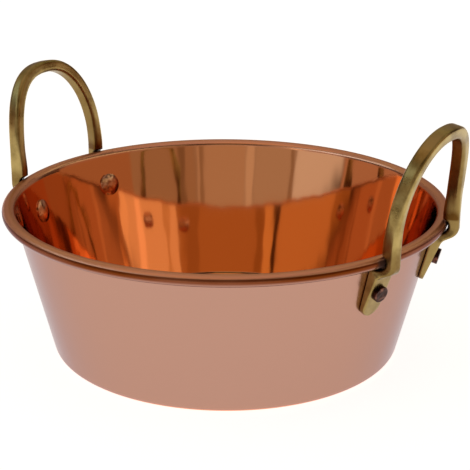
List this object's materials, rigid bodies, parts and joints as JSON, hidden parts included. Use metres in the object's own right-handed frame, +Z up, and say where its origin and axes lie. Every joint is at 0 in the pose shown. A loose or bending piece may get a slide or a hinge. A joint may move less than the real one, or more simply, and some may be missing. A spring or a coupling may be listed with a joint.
{
  "type": "copper jam pan",
  "caption": "Wide open copper pan with a tapered wall, a rolled wired rim and tall riveted brass loop handles at its sides.",
  "frame": {"origin": "middle of the base, on the surface that the pan stands on", "axes": "+Z up out of the pan, +X through the middle of the right handle, so both handles lie along X"},
  "size_m": [0.328, 0.3, 0.177],
  "materials": {
    "copper": "polished copper",
    "wire": "plain drawn wire",
    "brass": "satin cast brass",
    "rivet": "hammered copper"
  },
  "bodies": {
    "root": {"pan_body": "copper", "rim_wire": "wire", "handle_left": "brass", "handle_right": "brass", "rivet_left_front": "rivet", "rivet_left_back": "rivet", "rivet_right_front": "rivet", "rivet_right_back": "rivet"}
  },
  "joints": []
}
